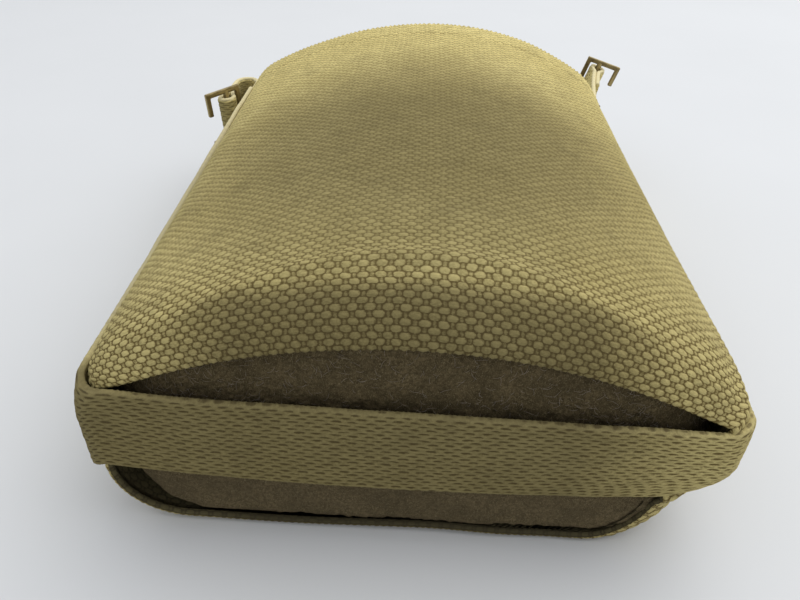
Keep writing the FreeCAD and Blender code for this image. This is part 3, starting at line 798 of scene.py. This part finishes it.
def gusset():
    """The strip round both sides and the base, and the start of its left end's outward bend."""
    radius = 8.0
    base_half = half_width - webbing / 2 - radius
    corner = radius * math.pi / 2
    side = top_y - base_y - webbing / 2 - radius
    marks = np.array([0, base_half, base_half + corner, base_half + corner + side])
    lengths = np.arange(-marks[3], marks[3], 0.55)
    q = np.interp(np.abs(lengths), marks, [0, 1, 2, 3]) * np.sign(lengths)
    angle = np.clip(np.abs(q) - 1, 0, 1) * math.pi / 2
    normal = np.stack([np.sin(angle) * np.sign(q), -np.cos(angle), 0 * q], -1)

    up = np.arange(bend_rise + bend_radius * math.radians(bend_part), 0, -0.5)
    turn = np.maximum(up - bend_rise, 0) / bend_radius
    x = -half_width + webbing / 2 - bend_radius * (1 - np.cos(turn))
    y = top_y + np.minimum(up, bend_rise) + bend_radius * np.sin(turn)
    flat = np.stack([x, y, strip_low_z + 0 * x], -1)[:, None]
    normal = np.concatenate([np.stack([-np.cos(turn), -np.sin(turn), 0 * turn], -1), normal])

    def place(share):
        bend = flat + share[:len(up), :, None] * np.array([0, 0, strip_width])
        return np.concatenate([bend, strip_place(q[:, None], share[len(up):])])

    return band("side_and_base_strip", place, normal, np.concatenate([-marks[3] - up, lengths]), 10)


class Path:
    """The plan path of a chape from its root, with the twist it has taken on by each point."""

    def __init__(self, root, locate, length, twist):
        self.root = np.array(root)
        self.locate = locate
        self.length = length
        self.twist = math.radians(twist)

    def frames(self, s):
        """Middle points, directions along, to the left and up, at distances from the root."""
        x, y = self.locate(s)
        x2, y2 = self.locate(s + 0.01)
        along = unit(np.stack([x2 - x, y2 - y, 0 * x], -1))
        left = np.stack([-along[:, 1], along[:, 0], 0 * x], -1)
        up = np.array([0, 0, 1.0])
        turn = (self.twist * np.clip(s / self.length, 0, 1))[:, None]
        middle = np.stack([x, y, 0 * x], -1) + self.root
        twisted_left = left * np.cos(turn) + up * np.sin(turn)
        return middle, along, twisted_left, up * np.cos(turn) - left * np.sin(turn)


def right_locate(s):
    share = s / 53.6
    return 1.0 + 4.55 * share + 0.6 * share ** 2 + 1.85 * share ** 3, 53.0 * share


def left_locate(s):
    """Half round the fold, then straight back towards the base."""
    radius = bend_radius - webbing / 2
    angle = math.pi / 2 + np.minimum(s / radius, math.pi / 2)
    past = np.maximum(s - radius * math.pi / 2, 0)
    return radius * np.cos(angle), -bend_radius + radius * np.sin(angle) - past


right_path = Path((half_width - webbing / 2, top_y + 1.5, strip_mid_z), right_locate, 53.6, 16.0)
left_path = Path((-half_width + webbing / 2 - bend_radius, top_y + bend_rise + bend_radius, strip_mid_z),
                 left_locate, 27.28, 4.0)


def chape(name, path, side, start, returns_to):
    """Webbing from the carrier to the buckle's bar, round it in a loose loop, and back."""
    loop, opening = 3.0, 7.0
    there = np.arange(start, path.length, 0.5)
    back = np.arange(path.length, returns_to, -0.5)
    spread = 1 + (loop - 1) * smooth(there, path.length - opening, path.length)
    middle, along, left, up = path.frames(there)
    first = middle + left * (side * spread)[:, None]
    first_up, first_normal = up, left * side
    spread = 1 + (loop - 1) * smooth(back, path.length - opening, path.length)
    middle, along, left, up = path.frames(back)
    last = middle - left * (side * spread)[:, None]
    last_up, last_normal = up, left * -side
    middle, along, left, up = path.frames(np.array([path.length]))
    turn = np.linspace(0, math.pi, 22)[1:-1, None]
    radial = left * side * np.cos(turn) + along * np.sin(turn)
    points = np.concatenate([first, middle + radial * loop, last])
    normal = np.concatenate([first_normal, radial, last_normal])
    half_up = np.concatenate([first_up, np.repeat(up, len(turn), 0), last_up]) * strip_width / 2

    def place(share):
        return points[:, None] + half_up[:, None] * (2 * share - 1)[..., None]

    return band(name, place, normal, run_along(points), face_lines)


# -------- threads

def tube(path, radius, sides, ply=0.0, plies=3, pitch=3.0, closed=False):
    """Points and faces of a tube along a path.  With plies it is lobed and twisted like rope."""
    along = np.gradient(path, axis=0)
    if closed:
        along = np.roll(path, -1, axis=0) - np.roll(path, 1, axis=0)
    along = unit(along)
    aside = unit(np.cross(along, [0.31, 0.23, 0.92]))
    other = np.cross(along, aside)
    run = run_along(path)
    if closed:
        turns = max(1, round(run[-1] / pitch))
        spin = 2 * math.pi * turns * np.arange(len(path)) / len(path)
    else:
        spin = 2 * math.pi * run / pitch
    angle = np.linspace(0, 2 * math.pi, sides, endpoint=False)[None, :]
    lobes = 1 - ply + ply * np.abs(np.cos((angle * plies - spin[:, None]) / 2))
    reach = (np.asarray(radius).reshape(-1, 1) * lobes)[..., None]
    points = path[:, None] + reach * (aside[:, None] * np.cos(angle)[..., None]
                                      + other[:, None] * np.sin(angle)[..., None])
    return points.reshape(-1, 3), tube_faces(len(path), sides, closed)


def joined(name, pieces, material):
    points, faces, start = [], [], 0
    for piece_points, piece_faces in pieces:
        points.append(piece_points)
        faces += [[i + start for i in face] for face in piece_faces]
        start += len(piece_points)
    return make_object(name, np.concatenate(points), faces, None, material)


def stitch(middle, direction, out, rng):
    """One stitch: a plump twisted thread that dips into the cloth at both ends."""
    length, radius = 3.4, 0.48
    k = np.linspace(-1, 1, 11)
    direction = direction + 0.06 * rng.randn(3)
    path = middle + np.outer(k * length / 2, direction) + np.outer(-0.45 * k ** 4 - 0.1, out)
    return tube(path, radius * np.sqrt(1.02 - k ** 6), 10, 0.22, 2, 2.2)


def side_seam(name, z, proud=0.0):
    rng = np.random.RandomState(61)
    pitch = 4.6
    low = base_y + strip_low_radius
    pieces = []
    for side in (-1, 1):
        for i in range(int((top_y - 4 - low) / pitch)):
            x = side * (half_width + 0.45) - (proud if side < 0 else 0)
            middle = np.array([x, low + pitch / 2 + pitch * i, z])
            pieces.append(stitch(middle, np.array([0, 1.0, 0]), np.array([side, 0, 0]), rng))
    return joined(name, pieces, seam_thread)


def chape_seam(name, path, rows):
    rng = np.random.RandomState(67)
    pieces = []
    for back in rows:
        middle, along, left, up = (v[0] for v in path.frames(np.array([path.length - back])))
        for i in range(-2, 3):
            place = middle - left * (webbing + 0.45) + up * 4.6 * i
            pieces.append(stitch(place, up, -left, rng))
    return joined(name, pieces, seam_thread)


def base_seam():
    """Overcast stitches along the felt's seam under the base."""
    rng = np.random.RandomState(71)
    pieces = []
    for i in range(17):
        middle = np.array([6.0 * (i - 8), felt_base_y - 0.45, strip_mid_z])
        pieces.append(stitch(middle, np.array([0, 0, 1.0]), np.array([0, -1.0, 0]), rng))
    return joined("felt_seam_stitches", pieces, seam_thread)


def curve_through(knots, steps):
    """A smooth curve through points (Catmull-Rom)."""
    knots = np.asarray(knots, float)
    ends = np.vstack([2 * knots[0] - knots[1], knots, 2 * knots[-1] - knots[-2]])
    pieces = []
    for i in range(len(knots) - 1):
        a, b, c, d = ends[i:i + 4]
        t = np.linspace(0, 1, steps, endpoint=False)[:, None]
        pieces.append(0.5 * (2 * b + (c - a) * t + (2 * a - 5 * b + 4 * c - d) * t ** 2
                             + (3 * b - a - 3 * c + d) * t ** 3))
    return np.vstack(pieces + [knots[-1:]])


def cord():
    """A laid cord from the bottle's neck to the stem above the cork."""
    radius = 1.2
    stem_y = box_mm("cork_top_washer")[1][1] + 2.5      # just above the washer
    tied_y = top_y + 14.0
    neck_loop, stem_loop = 15.0 + radius + 0.1, 1.5 + radius + 0.1
    turn = np.linspace(0, 2 * math.pi, 180, endpoint=False)[:, None]
    ring = np.hstack([np.cos(turn), 0 * turn, np.sin(turn)])
    line = curve_through([(neck_loop, tied_y, neck_z),
                          (neck_loop + 12.6, tied_y + 3, neck_z - 4),
                          (neck_loop + 18, stem_y - 4, neck_z - 8),
                          (neck_loop + 7.2, stem_y + 4, neck_z - 4),
                          (stem_loop, stem_y, neck_z)], 24)
    laid = (radius, 14, 0.28, 3, 5.0)
    pieces = [tube(line, *laid),
              tube(ring * neck_loop + [0, tied_y, neck_z], *laid, True),
              tube(ring[::4] * stem_loop + [0, stem_y, neck_z], *laid, True)]
    return joined("neck_cord", pieces, cord_cotton)


# -------- the felt

felt_front_wrap = Wrap(front_outline, (felt_base_radius,) * 2, felt_edge_radius, middle_z,
                       felt_front_z - middle_z)
felt_back_wrap = Wrap(hollow_outline, (felt_base_radius,) * 2, felt_back_radius, middle_z,
                      middle_z - felt_back_z, back_outline)


def felt_points(wrap, s, shoulder, t, out):
    """Felt from the neck (shoulder angles) down the barrel and round onto the base (t)."""
    x, z = wrap.outline(s, out)
    angle = np.radians(shoulder)[:, None]
    scale = neck_flange_scale + (1 - neck_flange_scale) * np.cos(angle)
    y = shoulder_y + (shoulder_height + out) * np.sin(angle)
    dome = np.stack(np.broadcast_arrays(x * scale, y, neck_z + (z - neck_z) * scale), -1)
    from_neck = np.hypot(dome[..., 0], dome[..., 2] - neck_z)
    hole = 17.4                 # radius kept clear round the neck
    grow = np.maximum(hole / np.maximum(from_neck, 1), 1)
    dome[..., 0] *= grow
    dome[..., 2] = neck_z + (dome[..., 2] - neck_z) * grow
    return np.concatenate([dome, wrap.place(*np.broadcast_arrays(s[None, :], t[:, None]), out)])


def felt_half(name, wrap, half, seed):
    """Half of the felt cover, and the points and normals of its outer face."""
    columns = 330
    s = np.linspace(-half, half, columns)
    start = wrap.edge_start(0)
    turn_end = start + wrap.edge_radius * math.pi / 2
    flat_end = turn_end + (felt_front_z - middle_z) - wrap.edge_radius - 0.4
    shoulder = 88 - 88 * np.linspace(0, 1, 60) ** 0.8
    barrel = np.linspace(shoulder_drop + 1, start - 6, 40)
    t = np.concatenate([barrel, np.arange(start - 5.5, flat_end, 0.5), [flat_end]])
    base = felt_points(wrap, s, shoulder[:-1], t, 0.0)
    normal = outward_normals(base)
    run = run_along(base[:, columns // 2])
    u, v = np.broadcast_arrays(s[None, :] + weave_start, run[:, None] + weave_start)
    tufts = 0.22 * (lattice_noise(u / 1.1, v / 1.1, seed) + lattice_noise(u / 2.3 + 9, v / 2.1, seed + 1))
    matting = noises(u, v, (0.30, 6.5, 5.5, seed + 2), (0.25, 17, 13, seed + 3))
    hidden = ((t > shoulder_drop + 1) & (t < start - 12)) * 1.0
    hidden = np.concatenate([np.zeros(len(base) - len(t)), hidden])[:, None]
    total = (tufts + matting) * (1 - hidden) - 0.15
    outer = base + normal * total[..., None]
    shoulder_in = 88 - 88 * np.linspace(0, 1, 16) ** 0.8
    barrel_in = np.linspace(shoulder_drop + 1, start, 12)
    t_in = np.concatenate([barrel_in, np.linspace(start + 2, flat_end - 1, 24)])
    inner = felt_points(wrap, s, shoulder_in[:-1], t_in, -felt_thickness)
    uv_in = np.zeros(inner.shape[:2] + (2,))
    return closed_sheet(name, outer, inner, np.stack([u, v], -1), uv_in, felt_cloth), outer, normal


def fibres(name, outer, normal, rows, count, seed):
    """Loose hairs lying on the felt."""
    rng = np.random.RandomState(seed)
    pieces = []
    for _ in range(count):
        i = rng.choice(rows)
        j = rng.randint(4, outer.shape[1] - 4)
        p, n = outer[i, j], normal[i, j]
        if n @ n < 0.5:
            continue
        way = unit(np.cross(n, rng.randn(3)))
        bend = np.cross(n, way)
        length = rng.uniform(0.8, 2.6)
        k = np.linspace(0, 1, 5)[:, None]
        lift = rng.uniform(0.1, 0.5)
        path = (p + way * length * (k - 0.5) + bend * length * rng.uniform(-1.2, 1.2) * k ** 2
                + n * (0.02 + lift * 4 * k * (1 - k)))
        pieces.append(tube(path, np.array([0.03, 0.045, 0.05, 0.045, 0.02]), 3))
    return joined(name, pieces, fibre_wool)


# -------- stage, camera and lights

def stage():
    reach = 3000
    corners = [(-reach, -reach, 0), (reach, -reach, 0), (reach, reach, 0), (-reach, reach, 0)]
    floor = make_object("floor", corners, [[0, 1, 2, 3]])
    sh = Shader("pale_table")
    grain = sh.noise(sh.place(), 0.01, 2.0)
    colour = sh.mix(grain, (0.645, 0.648, 0.650), (0.68, 0.682, 0.684))
    floor.data.materials.append(sh.finish(Base_Color=colour, Roughness=0.6, Specular_IOR_Level=0.2))


def ceiling_light():
    data = bpy.data.lights.new("ceiling", "AREA")
    data.shape = "DISK"
    data.size = 2.0
    data.energy = 12.0
    light = put("ceiling", data)
    light.location = (0.6, 0.35, 1.3)
    light.rotation_euler = (-light.location).to_track_quat("-Z", "Y").to_euler()


def room_light():
    """Pale all round as the camera sees it.  Its light is brightest above and weakest low in front."""
    sh = Shader("soft_room", "worlds", "Background")
    direction = sh.node("ShaderNodeTexCoord", {}).outputs["Generated"]
    up = (0.2, 0.4, 1.0)
    height = sh.node("ShaderNodeVectorMath", {0: direction, 1: up}, operation="DOT_PRODUCT").outputs["Value"]
    strength = sh.spread(height, -0.3, 1.0, 0.50, 1.03)
    seen = sh.node("ShaderNodeLightPath", {}).outputs["Is Camera Ray"]
    world = sh.finish(Color=(0.93, 0.96, 1.0, 1), Strength=sh.math("MAXIMUM", strength, seen))
    bpy.context.scene.world = world


def camera():
    """A close wide view from past the base, looking down along the carrier."""
    pitch, yaw, roll = math.radians(36.77), math.radians(-1.35), math.radians(1.99)
    place = Vector((-0.3, base_y - 108.8, 163.7)) * MM
    forward = Vector((math.sin(yaw) * math.cos(pitch), math.cos(yaw) * math.cos(pitch), -math.sin(pitch)))
    level = Vector((math.cos(yaw), -math.sin(yaw), 0))
    up = level.cross(forward)
    right = level * math.cos(roll) + up * math.sin(roll)
    up = up * math.cos(roll) - level * math.sin(roll)
    data = bpy.data.cameras.new("camera")
    data.sensor_width = 36
    data.lens = 30.8
    data.clip_start = 0.01
    cam = put("camera", data)
    cam.matrix_world = Matrix.Translation(place) @ Matrix((right, up, -forward)).transposed().to_4x4()
    bpy.context.scene.camera = cam


stage()
ceiling_light()
room_light()
camera()
bpy.context.scene.view_settings.view_transform = "Standard"


# -------- build

def show(obj, body, slot, *nodes):
    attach(obj, body)
    if nodes:
        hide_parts(*nodes)


def show_across(obj, node):
    """A piece that runs from one body to the next: its CAD node is hidden and its transform baked, attached
    to neither body.
    """
    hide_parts(node)
    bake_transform(obj)


front_seam = length_to_z(front_outline, panel_out, strip_high_z)
front_half = length_to_z(front_outline, panel_out, strip_high_z - sewn_margin)
show(panel("front_panel_webbing", front_wrap, front_half, front_seam, front_ends, front_shape, 11, 1),
     "carrier", "panel_webbing", "front_panel")
back_seam = length_to_z(back_outline, panel_out, strip_low_z)
back_half = length_to_z(back_outline, panel_out, strip_low_z + sewn_margin)
show(panel("back_panel_webbing", back_wrap, back_half, back_seam, back_ends, back_shape, 211, 6),
     "carrier", "panel_webbing", "back_panel")
show(gusset(), "carrier", "strip_webbing", "gusset_strip")
seam_in = 4.0                   # from the strip's edge to its seam
show(side_seam("front_seam_stitches", strip_high_z - seam_in, 0.7 * strip_proud),
     "carrier", "thread", "front_seam_thread")
show(side_seam("back_seam_stitches", strip_low_z + seam_in), "carrier", "thread", "back_seam_thread")

show_across(chape("right_chape_webbing", right_path, 1, -1.5, 26.8), "chape_right")
left_start = -math.radians(90 - bend_part) * (bend_radius - webbing / 2)
show_across(chape("left_chape_webbing", left_path, -1, left_start, 13.6), "chape_left")
show(chape_seam("right_chape_stitches", right_path, (9.0, 18.0)),
     "right_chape", "thread", "chape_right_thread")
show(chape_seam("left_chape_stitches", left_path, (7.0, 15.0)),
     "left_chape", "thread", "chape_left_thread")

half_gap = 0.05                 # between each half of the felt and the middle of the seam
felt_side = length_to_z(front_outline, 0, strip_mid_z + half_gap)
front_felt, wool, wool_normal = felt_half("front_felt_wool", felt_front_wrap, felt_side, 81)
show(front_felt, "bottle", "felt", "felt_front")
base_rows = np.arange(len(wool) - 120, len(wool) - 3)
show(fibres("base_felt_hairs", wool, wool_normal, base_rows, 1400, 91), "bottle", "felt")
show(fibres("shoulder_felt_hairs", wool, wool_normal, np.arange(2, 56), 500, 92), "bottle", "felt")
felt_side = length_to_z(hollow_outline, 0, strip_mid_z - half_gap)
show(felt_half("back_felt_wool", felt_back_wrap, felt_side, 101)[0], "bottle", "felt", "felt_back")
show(base_seam(), "bottle", "thread", "felt_seam_thread")

show_across(cord(), "stopper_cord")

cad_looks = ((brass, "buckle_right buckle_left"),
             (enamel, "bottle_neck bottle_wall bottle_base bottle_shoulder"),
             (cork, "cork"),
             (tinned, "cork_top_washer cork_bottom_washer stopper_spindle stopper_ring"))
for look, nodes in cad_looks:
    for node in nodes.split():
        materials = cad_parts[node].data.materials
        materials.clear()
        materials.append(look)
